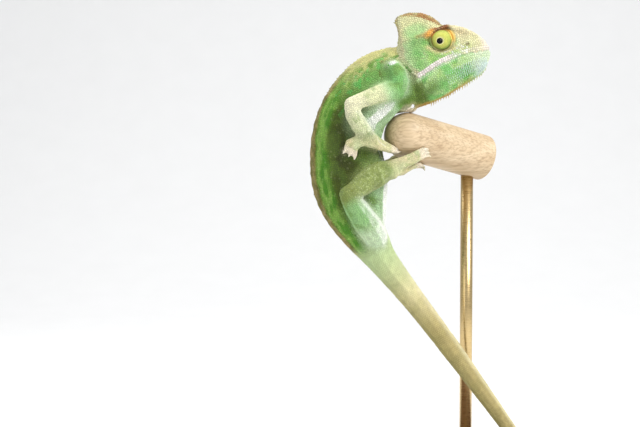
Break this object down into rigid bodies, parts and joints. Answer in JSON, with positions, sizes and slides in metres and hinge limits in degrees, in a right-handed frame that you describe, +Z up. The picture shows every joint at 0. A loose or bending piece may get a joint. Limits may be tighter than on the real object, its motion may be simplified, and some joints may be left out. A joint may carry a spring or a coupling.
{
  "type": "veiled chameleon display model",
  "caption": "Life-size still model of a young green veiled chameleon that hangs upright from a short wooden perch on a plain display stand.",
  "frame": {"origin": "centre of the underside of the stand's base", "axes": "+X is the way the animal's snout points, +Y is its left side, +Z is up"},
  "size_m": [0.108, 0.064, 0.1795],
  "materials": {
    "skin": "finely scaled reptile skin, satin",
    "head_skin": "finely scaled reptile skin, satin",
    "leg_skin": "finely scaled reptile skin, satin",
    "eye_lid": "tiny beaded scales in rings, satin",
    "eyeball": "wet gloss",
    "stand_wood": "satin oiled beech",
    "perch_wood": "satin turned wood",
    "stand_metal": "satin"
  },
  "bodies": {
    "root": {"eye_turret_left": "eye_lid", "eye_turret_right": "eye_lid", "eyeball_left": "eyeball", "eyeball_right": "eyeball", "foot_front_left": "leg_skin", "foot_front_right": "leg_skin", "foot_hind_left": "leg_skin", "foot_hind_right": "leg_skin", "head": "head_skin", "leg_lower_front_left": "leg_skin", "leg_lower_front_right": "leg_skin", "leg_lower_hind_left": "leg_skin", "leg_lower_hind_right": "leg_skin", "leg_upper_front_left": "leg_skin", "leg_upper_front_right": "leg_skin", "leg_upper_hind_left": "leg_skin", "leg_upper_hind_right": "leg_skin", "lower_jaw": "head_skin", "neck": "skin", "stand_base": "stand_wood", "stand_collar": "stand_metal", "stand_perch": "perch_wood", "stand_rod": "stand_metal", "tail_base": "skin", "tail_curl": "skin", "tail_middle": "skin", "trunk": "skin"}
  },
  "joints": []
}
